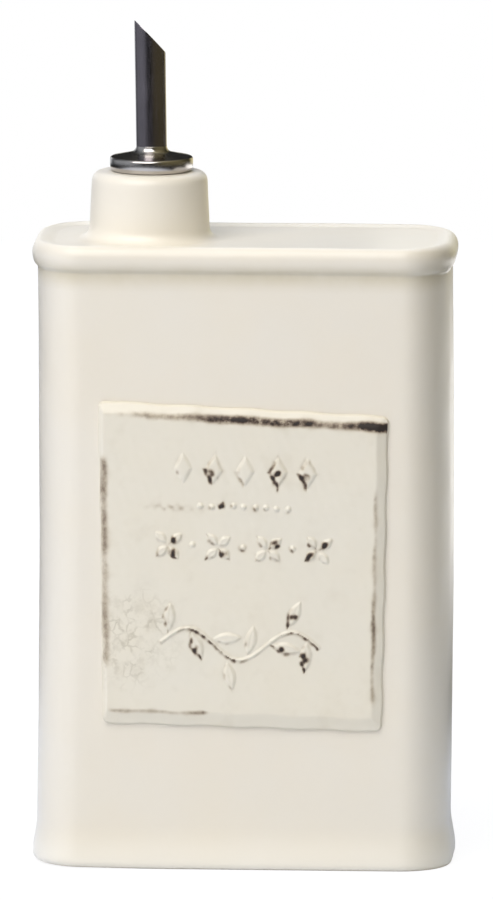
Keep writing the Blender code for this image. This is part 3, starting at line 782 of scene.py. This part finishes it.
def build_tablet(material):
    u, v, rise, relief_wear, arris_wear = tablet_field()
    wall = -HALF_DEPTH - SEAT_GAP
    face = np.column_stack([PLAQUE_X + u.ravel(), wall - rise.ravel(), PLAQUE_MIDDLE + v.ravel()])
    grid = np.arange(len(face)).reshape(u.shape)
    faces = np.stack([grid[:-1, :-1], grid[:-1, 1:], grid[1:, 1:], grid[1:, :-1]], axis=-1).reshape(-1, 4).tolist()
    border = np.concatenate([grid[0, :-1], grid[:-1, -1], grid[-1, :0:-1], grid[:0:-1, 0]])
    loop = face[border]
    tangent = np.roll(loop, -1, axis=0) - np.roll(loop, 1, axis=0)
    tangent[:, 1] = 0
    tangent /= np.linalg.norm(tangent, axis=1, keepdims=True)
    outward = np.column_stack([tangent[:, 2], np.zeros(len(loop)), -tangent[:, 0]])
    rings, previous, total = [face], border, len(face)
    for reach, rest in SKIRT:
        ring = loop + outward * reach
        ring[:, 1] = wall - rest
        rings.append(ring)
        current = np.arange(total, total + len(ring))
        faces += np.stack([previous, current, np.roll(current, -1), np.roll(previous, -1)], axis=1).tolist()
        previous = current
        total += len(ring)
    faces.append(previous[::-1].tolist())
    mesh = bpy.data.meshes.new("tablet")
    mesh.from_pydata(np.concatenate(rings).tolist(), [], faces)
    face_outwards(mesh)
    mesh.shade_smooth()
    for name, wear in (("relief_wear", relief_wear), ("arris_wear", arris_wear)):
        set_attribute(mesh, name, np.pad(wear.ravel(), (0, total - wear.size)))
    tablet = new_object("relief_tablet", mesh, material)
    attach(tablet, "jar")
    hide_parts("front_plaque")


def round_ring(radius, height, segments, middle=0.0):
    angles = np.linspace(0, 2 * math.pi, segments, endpoint=False)
    return np.column_stack([middle + radius * np.cos(angles), radius * np.sin(angles), np.full(segments, height)])


def turned(name, profile, segments, material):
    """A closed (radius, height) outline spun about the neck's axis."""
    mesh = ring_mesh(name, [round_ring(r, z, segments, NECK_X) for r, z in profile], closed=True)
    face_outwards(mesh)
    return new_object(name, mesh, material)


def build_stopper(material):
    bottom, top, edge = STOPPER_LOW.z, STOPPER_HIGH.z, STOPPER_EDGE
    seat = top - STOPPER_HEAD
    bore = TUBE_RADIUS + RUNNING_GAP
    widest = BORE_RADIUS - RUNNING_GAP
    head = (STOPPER_HIGH.x - STOPPER_LOW.x) / 2
    first = NECK_TOP - SEAT_GAP - RIB_PITCH * RIB_COUNT
    profile = [(bore, bottom), (STOPPER_CORE - edge, bottom), (STOPPER_CORE, bottom + edge)]
    for i in range(RIB_COUNT):
        reach = widest - RIB_TAPER * (RIB_COUNT - 1 - i)
        middle = first + RIB_PITCH * (i + 0.5)
        profile.append((STOPPER_CORE, middle - RIB_ROOT / 2))
        profile += arc((reach - RIB_THICKNESS / 2, middle), (RIB_THICKNESS / 2,) * 2, -80, 80, 8)
        profile.append((STOPPER_CORE, middle + RIB_ROOT / 2))
    profile += [(STOPPER_CORE, seat), (head - edge, seat)]
    profile += arc((head - edge, seat + edge), (edge, edge), -90, 0, 3)[1:]
    profile += arc((head - edge, top - edge), (edge, edge), 0, 90, 3)
    profile.append((bore, top))
    stopper = turned("rubber_stopper", profile, STOPPER_SEGMENTS, material)
    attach(stopper, "plug")
    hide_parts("stopper")


def build_flange(material):
    """A pressed disc, drawn up to the tube in a fillet, with a wide round rim turned under."""
    hole = TUBE_RADIUS - FLANGE_OVERLAP
    bottom, collar = NECK_TOP + FLANGE_CLEARANCE, FLANGE_HIGH.z + FLANGE_RISE
    widest = FLANGE_LOW.z + FLANGE_WIDEST
    ceiling = FLANGE_LOW.z + FLANGE_CEILING
    inner = FLANGE_RADIUS - FLANGE_WALL
    profile = [(hole, ceiling), (hole, collar)]
    profile += arc((TUBE_RADIUS + FLANGE_FILLET, collar), (FLANGE_FILLET,) * 2, 178, 270 - FLANGE_SLOPE, 14)
    shoulder = FLANGE_RADIUS - FLANGE_EDGE
    drop = (shoulder - profile[-1][0]) * math.tan(math.radians(FLANGE_SLOPE))
    top = profile[-1][1] - drop
    profile.append((shoulder - FLANGE_KNEE, top + drop * FLANGE_KNEE / (shoulder - profile[-1][0])))
    profile += arc((shoulder, widest), (FLANGE_EDGE, top - widest), 90 - FLANGE_SLOPE, 0, 12)
    turn = (FLANGE_RADIUS - FLANGE_TUCK, bottom + FLANGE_TURN)
    profile += arc(turn, (FLANGE_TUCK, FLANGE_TURN), 0, -90, 12)
    profile += [(inner, bottom + FLANGE_BEVEL), (inner, ceiling)]
    flange = turned("pressed_flange", profile, FLANGE_SEGMENTS, material)
    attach(flange, "spout")
    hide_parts("spout_flange")


def drilled_tube(name, levels, segments, material, offset=0.0, lean=0.0):
    """A tube along the spout's axis with its air hole. Each level is a radius and a height, which may depend on x."""
    rings = []
    for radius, level in levels:
        ring = round_ring(radius, 0, segments)
        ring[:, 2] = level(ring[:, 0]) if callable(level) else level
        share = np.clip((ring[:, 2] - FLANGE_HIGH.z) / (TUBE_HIGH.z - FLANGE_HIGH.z), 0, 1)
        ring[:, 0] += offset - lean * share
        rings.append(ring)
    mesh = ring_mesh(name, rings, closed=True)
    mesh.transform(SPOUT_PLACE)
    face_outwards(mesh)
    tube = new_object(name, mesh, material)
    drill_air_hole(tube)
    tube.data.set_sharp_from_angle(angle=SHARP_ANGLE)
    return tube


def drill_air_hole(target):
    """Cuts the air hole through the wall with a round cutter that is then removed."""
    cutter_mesh = bpy.data.meshes.new("air_hole")
    bm = bmesh.new()
    bmesh.ops.create_cone(bm, cap_ends=True, segments=32, radius1=AIR_HOLE_RADIUS, radius2=AIR_HOLE_RADIUS,
                          depth=TUBE_RADIUS)
    lying = Matrix.Rotation(math.pi / 2, 4, "Y")
    across = Matrix.Translation((TUBE_RADIUS + AIR_HOLE_REACH, 0, FLANGE_HIGH.z + AIR_HOLE_RISE))
    bm.transform(SPOUT_PLACE @ across @ lying)
    bm.to_mesh(cutter_mesh)
    bm.free()
    cutter = new_object("air_hole", cutter_mesh)
    cut = target.modifiers.new("air_hole", "BOOLEAN")
    cut.operation = "DIFFERENCE"
    cut.object = cutter
    graph = bpy.context.evaluated_depsgraph_get()
    drilled = bpy.data.meshes.new_from_object(target.evaluated_get(graph))
    target.modifiers.clear()
    target.data = drilled
    bpy.data.objects.remove(cutter, do_unlink=True)


def tip(drop):
    """The slanted cut, its long side towards the pouring lip, lowered by drop."""
    return lambda x: TUBE_HIGH.z - drop - (x + TUBE_RADIUS) * math.tan(TIP_SLOPE)


def build_tube(material):
    outer, inner, lip = TUBE_RADIUS, TUBE_RADIUS - TUBE_WALL, TUBE_LIP
    bottom = TUBE_LOW.z
    levels = [(outer - lip, bottom), (outer, bottom + lip), (outer, bottom + 4 * lip), (outer, FLANGE_HIGH.z)]
    levels += [(outer, tip(lip * 6)), (outer, tip(lip * 2)), (outer - lip * 0.7, tip(0))]
    levels += [(inner + lip * 0.7, tip(0)), (inner, tip(lip * 2)), (inner, tip(lip * 6))]
    levels += [(inner, bottom + 4 * lip), (inner, bottom + lip), (inner + lip, bottom)]
    tube = drilled_tube("pour_tube", levels, TUBE_SEGMENTS, material, lean=TUBE_LEAN)
    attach(tube, "spout")
    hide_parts("spout_tube")


def build_vent(material):
    """The air tube inside, closed at its top."""
    radius = (VENT_HIGH.y - VENT_LOW.y) / 2
    bore, top = radius - VENT_WALL, VENT_HIGH.z
    levels = [(VENT_POLE, top), (radius - VENT_EDGE, top), (radius, top - VENT_EDGE)]
    levels += [(radius, VENT_LOW.z), (bore, VENT_LOW.z), (bore, top - VENT_CAP), (VENT_POLE, top - VENT_CAP)]
    offset = TUBE_RADIUS - TUBE_WALL - SOLDER_GAP - radius
    vent = drilled_tube("air_tube", levels, TUBE_SEGMENTS // 2, material, offset=offset)
    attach(vent, "spout")
    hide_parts("vent_tube")


def node(tree, kind, inputs=None, **settings):
    """Adds a node. An input that is a socket is linked, one that is None is left, anything else is set."""
    made = tree.nodes.new(kind)
    for key, value in settings.items():
        setattr(made, key, value)
    for key, value in (inputs or {}).items():
        if isinstance(value, bpy.types.NodeSocket):
            tree.links.new(value, made.inputs[key])
        elif value is not None:
            made.inputs[key].default_value = value
    return made


def maths(tree, operation, first, second=0.0, third=0.0):
    return node(tree, "ShaderNodeMath", {0: first, 1: second, 2: third}, operation=operation).outputs[0]


def vector_maths(tree, operation, *vectors, output="Value"):
    return node(tree, "ShaderNodeVectorMath", dict(enumerate(vectors)), operation=operation).outputs[output]


def local_place(tree):
    return node(tree, "ShaderNodeTexCoord").outputs["Object"]


def blend_colours(tree, factor, first, second):
    return node(tree, "ShaderNodeMix", {0: factor, 6: first, 7: second}, data_type="RGBA").outputs[2]


def ranged(tree, value, low, high, start=0.0, end=1.0):
    """Turns low to high into start to end with soft ends."""
    inputs = {"Value": value, "From Min": low, "From Max": high, "To Min": start, "To Max": end}
    return node(tree, "ShaderNodeMapRange", inputs, interpolation_type="SMOOTHSTEP").outputs["Result"]


def noise(tree, size, detail=2.0, roughness=0.5, stretch=None, output="Fac"):
    """Noise over the object's own coordinates, with bumps of a real size."""
    place = local_place(tree)
    if stretch:
        place = node(tree, "ShaderNodeMapping", {"Vector": place, "Scale": stretch}).outputs["Vector"]
    inputs = {"Vector": place, "Scale": 1 / size, "Detail": detail, "Roughness": roughness}
    return node(tree, "ShaderNodeTexNoise", inputs).outputs[output]


def patches(tree, kind):
    grain, levels = PATCHES[kind]
    return ranged(tree, noise(tree, *grain), *levels)


def attribute(tree, name):
    return node(tree, "ShaderNodeAttribute", attribute_name=name).outputs["Fac"]


def bump(tree, height, distance, normal=None):
    inputs = {"Height": height, "Distance": distance, "Strength": 1.0, "Normal": normal}
    return node(tree, "ShaderNodeBump", inputs).outputs["Normal"]


def new_material(name):
    material = bpy.data.materials.new(name)
    material.use_nodes = True
    tree = material.node_tree
    return material, tree, tree.nodes["Principled BSDF"]


def feed(tree, shader, **sockets):
    for name, value in sockets.items():
        socket = shader.inputs[name.replace("_", " ")]
        if isinstance(value, bpy.types.NodeSocket):
            tree.links.new(value, socket)
        else:
            socket.default_value = value


def grey(level):
    return (level, level, level, 1)


def glaze_ground(tree, colour):
    """The cream glaze's colour: cloudy over centimetres, faintly speckled over tenths of a millimetre."""
    warm, cool = ((*(c * k for c, k in zip(colour, drift)), 1) for drift in CLOUD_DRIFTS)
    ground = blend_colours(tree, patches(tree, "cloud"), warm, cool)
    return blend_colours(tree, patches(tree, "speck"), ground, SPECK)


def glaze_bump(tree):
    normal = None
    for size, depth in GLAZE_BUMPS:
        normal = bump(tree, noise(tree, size), depth, normal)
    return normal


def cream_glaze():
    material, tree, shader = new_material("cream_glaze_finish")
    ground = glaze_ground(tree, GLAZE)
    # Pooled glaze with painted shade in the creases
    pool = maths(tree, "MULTIPLY", attribute(tree, "pool"), patches(tree, "pool"))
    height = node(tree, "ShaderNodeSeparateXYZ", {0: local_place(tree)}).outputs["Z"]
    above = maths(tree, "SUBTRACT", height, DECK)
    # Painted light: a paler colour over the lower neck and the foot
    painted_light = maths(tree, "MULTIPLY", ranged(tree, above, *PAINTED_LIGHT_START, 0.0, PAINTED_LIGHT_SHARE),
                  ranged(tree, above, *PAINTED_LIGHT_END, 1.0, 0.4))
    painted_light = maths(tree, "MAXIMUM", painted_light, ranged(tree, height, *PAINTED_LIGHT_FOOT, PAINTED_LIGHT_SHARE, 0.0))
    bare = attribute(tree, "bare")
    for share, colour in ((pool, POOLED_GLAZE_AND_SHADE), (painted_light, PAINTED_LIGHT_GLAZE), (bare, BARE_CLAY)):
        ground = blend_colours(tree, share, ground, colour)
    rough = maths(tree, "MULTIPLY_ADD", bare, BARE_ROUGHNESS, patches(tree, "jar_gloss"))
    feed(tree, shader, Base_Color=ground, Roughness=rough, Normal=glaze_bump(tree))
    return material


def crazing(tree):
    """How stained the tablet is near its crazed place: a net of fine cracks that comes and goes, and blotches."""
    place = local_place(tree)
    drift = noise(tree, CRAZE_DRIFT, 3, output="Color")
    bent = node(tree, "ShaderNodeMixRGB", {0: CRAZE_BEND, 1: place, 2: drift}, blend_type="ADD").outputs[0]
    cells = node(tree, "ShaderNodeTexVoronoi", {"Vector": bent, "Scale": 1 / CRAZE_CELL}, feature="DISTANCE_TO_EDGE")
    crack = ranged(tree, cells.outputs["Distance"], 0.0, CRACK_WIDTH, 1.0, 0.0)
    crack = maths(tree, "MULTIPLY_ADD", crack, patches(tree, "crack"), patches(tree, "blotch"))
    apart = vector_maths(tree, "DISTANCE", place, CRAZED_PLACE)
    return maths(tree, "MULTIPLY", crack, ranged(tree, apart, *CRAZED_REACH, 1.0, 0.0))


def worn_glaze():
    """The tablet's glaze, broken to brown and near black where its edges are worn."""
    material, tree, shader = new_material("tablet_glaze_finish")
    ground = blend_colours(tree, crazing(tree), glaze_ground(tree, TABLET_GLAZE), CRACK)
    ground = blend_colours(tree, patches(tree, "smudge"), ground, SMUDGE)
    ragged, broken = noise(tree, *RAGGED), noise(tree, BROKEN)
    loose = maths(tree, "ADD", maths(tree, "MULTIPLY_ADD", ragged, 1.6, -0.8),
                  maths(tree, "MULTIPLY_ADD", broken, 1.3, -0.65))
    relief, arris = attribute(tree, "relief_wear"), attribute(tree, "arris_wear")
    wear = maths(tree, "MAXIMUM", relief, arris)
    halo = maths(tree, "MULTIPLY_ADD", broken, 0.8, maths(tree, "SUBTRACT", wear, 0.4))
    ground = blend_colours(tree, ranged(tree, halo, 0.05, 0.7, 0.0, HALO_SHARE), ground, HALO)
    calm = ranged(tree, arris, 0.55, 0.9, 0.35, 1.0)
    worn = maths(tree, "MAXIMUM", maths(tree, "MULTIPLY_ADD", loose, calm, arris),
                 maths(tree, "MULTIPLY_ADD", loose, 0.45, relief))
    touched = maths(tree, "MULTIPLY", ranged(tree, worn, 0.12, 0.85), ranged(tree, wear, 0.05, 0.5))
    ramp = node(tree, "ShaderNodeValToRGB", {"Fac": worn})
    elements = ramp.color_ramp.elements
    for index, (position, colour) in enumerate(WEAR_STOPS):
        element = elements[index] if index < 2 else elements.new(position)
        element.position = position
        element.color = colour
    colour = blend_colours(tree, touched, ground, ramp.outputs["Color"])
    rough = maths(tree, "MULTIPLY_ADD", touched, WORN_ROUGHNESS, patches(tree, "tablet_gloss"))
    worn_down = bump(tree, maths(tree, "SUBTRACT", 1.0, touched), WORN_DEPTH, glaze_bump(tree))
    feed(tree, shader, Base_Color=colour, Roughness=rough, Normal=worn_down)
    return material


def polished_steel(name, colour, roughness, drawn):
    """Polished steel with fine marks along or round it, and faint grease."""
    material, tree, shader = new_material(name)
    marks = noise(tree, *STEEL_MARKS, stretch=drawn)
    dim = tuple(c * STEEL_DIM for c in colour)
    ground = blend_colours(tree, patches(tree, "steel_tone"), (*dim, 1), (*colour, 1))
    rough = ranged(tree, marks, 0.3, 0.7, roughness * 0.8, roughness * 1.2)
    rough = maths(tree, "ADD", rough, patches(tree, "grease"))
    feed(tree, shader, Base_Color=ground, Metallic=1.0, Roughness=rough, Normal=bump(tree, marks, STEEL_DEPTH))
    return material


def black_rubber():
    material, tree, shader = new_material("stopper_rubber_finish")
    ground = blend_colours(tree, patches(tree, "rubber_bloom"), *RUBBER)
    grain = bump(tree, noise(tree, RUBBER_GRAIN), RUBBER_DEPTH)
    feed(tree, shader, Base_Color=ground, Roughness=patches(tree, "rubber_gloss"), Normal=grain)
    return material


def glowing(tree, colour, glow, strength):
    """A matt colour with a glow added."""
    matt = node(tree, "ShaderNodeBsdfDiffuse", {"Color": colour}).outputs[0]
    light = node(tree, "ShaderNodeEmission", {"Color": glow, "Strength": strength}).outputs[0]
    return node(tree, "ShaderNodeAddShader", {0: matt, 1: light}).outputs[0]


def floor_material():
    """Pale floor that the camera sees as white, with the jar's shadow kept."""
    material, tree, _ = new_material("floor")
    tree.nodes.clear()
    place = local_place(tree)
    apart = vector_maths(tree, "LENGTH", place)
    ahead = vector_maths(tree, "DISTANCE", place, FLOOR_LIT_MIDDLE)
    lit = blend_colours(tree, ranged(tree, ahead, *FLOOR_LIT), FLOOR_COLOUR, grey(FLOOR_UNLIT))
    way = vector_maths(tree, "NORMALIZE", place, output="Vector")
    patch = towards(tree, way, PATCH_WAY, PATCH_COSINES, PATCH_LEVEL)
    patch = maths(tree, "MULTIPLY", patch, ranged(tree, apart, *PATCH_NEAR))
    patch = maths(tree, "MULTIPLY", patch, ranged(tree, apart, *PATCH_FAR, 1.0, 0.0))
    plain = glowing(tree, lit, PATCH_COLOUR, patch)
    seen = glowing(tree, grey(FLOOR_SHADOW), grey(1), FLOOR_GLOW)
    camera_ray = node(tree, "ShaderNodeLightPath").outputs["Is Camera Ray"]
    mixed = node(tree, "ShaderNodeMixShader", {0: camera_ray, 1: plain, 2: seen}).outputs[0]
    node(tree, "ShaderNodeOutputMaterial", {"Surface": mixed})
    return material


def build_floor():
    mesh = bpy.data.meshes.new("floor")
    bm = bmesh.new()
    bmesh.ops.create_circle(bm, cap_ends=True, segments=128, radius=FLOOR_RADIUS)
    bm.to_mesh(mesh)
    bm.free()
    new_object("floor", mesh, floor_material())


def build_flag():
    """A black card behind the spout that its steel reflects and that the camera doesn't see."""
    mesh = bpy.data.meshes.new("black_card")
    wide, high = FLAG_SIZE[0] / 2, FLAG_SIZE[1] / 2
    mesh.from_pydata([(-wide, 0, -high), (wide, 0, -high), (wide, 0, high), (-wide, 0, high)], [], [(0, 1, 2, 3)])
    mesh.transform(Matrix.Translation(FLAG_PLACE))
    material, tree, shader = new_material("black_card")
    feed(tree, shader, Base_Color=grey(FLAG_BLACK), Roughness=0.9)
    card = new_object("black_card", mesh, material)
    card.visible_camera = False


def towards(tree, direction, way, cosines, level):
    """A soft patch of light around one way, between two cosines of the angle to it."""
    return ranged(tree, vector_maths(tree, "DOT_PRODUCT", direction, way), *cosines, 0.0, level)


def build_world():
    """White to the camera. To everything else a dim studio with a low white screen behind."""
    world = bpy.data.worlds.new("studio")
    bpy.context.scene.world = world
    world.use_nodes = True
    tree = world.node_tree
    tree.nodes.clear()
    direction = node(tree, "ShaderNodeTexCoord").outputs["Generated"]
    axes = node(tree, "ShaderNodeSeparateXYZ", {0: direction})
    level = FRONT_LEVEL
    for way, cosines, strength in STUDIO_LIGHTS:
        level = maths(tree, "ADD", towards(tree, direction, way, cosines, strength), level)
    screen = maths(tree, "MULTIPLY", towards(tree, direction, (0, 1, 0), SCREEN_COSINES, SCREEN_LEVEL),
                   ranged(tree, axes.outputs["Z"], *SCREEN_TOP, 1.0, SCREEN_ABOVE))
    level = maths(tree, "MAXIMUM", level, screen)
    tint = blend_colours(tree, ranged(tree, axes.outputs["X"], -TINT_REACH, TINT_REACH), COOL, WARM)
    camera_ray = node(tree, "ShaderNodeLightPath").outputs["Is Camera Ray"]
    colour = blend_colours(tree, camera_ray, tint, grey(1))
    strength = maths(tree, "MAXIMUM", level, camera_ray)
    light = node(tree, "ShaderNodeBackground", {"Color": colour, "Strength": strength}).outputs[0]
    node(tree, "ShaderNodeOutputWorld", {"Surface": light})


def add_softbox(name, direction, distance, size, level, colour, mirrored):
    """A square softbox. A level of 1 gives a surface that faces it the colour it is written with."""
    lamp = bpy.data.lights.new(name, "AREA")
    lamp.shape = "SQUARE"
    lamp.size = size
    lamp.energy = level * math.pi ** 2 * distance ** 2
    lamp.color = colour
    box = new_object(name, lamp)
    direction = Vector(direction).normalized()
    box.location = VIEW_TARGET + direction * distance
    box.rotation_euler = (-direction).to_track_quat("-Z", "Y").to_euler()
    box.visible_glossy = mirrored


def build_camera():
    lens = bpy.data.cameras.new("camera")
    lens.sensor_width = SENSOR
    lens.lens = SENSOR * VIEW_DISTANCE / (IMAGE_HEIGHT / PIXELS_PER_METRE)
    lens.clip_end = CLIP_END
    eye = new_object("camera", lens)
    out = Vector((
        math.sin(VIEW_AZIMUTH) * math.cos(VIEW_ELEVATION),
        -math.cos(VIEW_AZIMUTH) * math.cos(VIEW_ELEVATION),
        math.sin(VIEW_ELEVATION),
    ))
    look = (-out).to_track_quat("-Z", "Y").to_matrix().to_4x4()
    place = Matrix.Translation(VIEW_TARGET + out * VIEW_DISTANCE)
    eye.matrix_world = place @ look @ Matrix.Rotation(VIEW_ROLL, 4, "Z")
    bpy.context.scene.camera = eye


build_camera()
build_jar(cream_glaze())
build_tablet(worn_glaze())
build_stopper(black_rubber())
build_flange(polished_steel("flange_steel_finish", *FLANGE_STEEL))
build_tube(polished_steel("tube_steel_painted_shade", *TUBE_STEEL_PAINTED_DARK))
build_vent(polished_steel("vent_steel_finish", *VENT_STEEL))
build_floor()
build_flag()
build_world()
for softbox in SOFTBOXES:
    add_softbox(*softbox)
bpy.context.scene.view_settings.view_transform = "Standard"
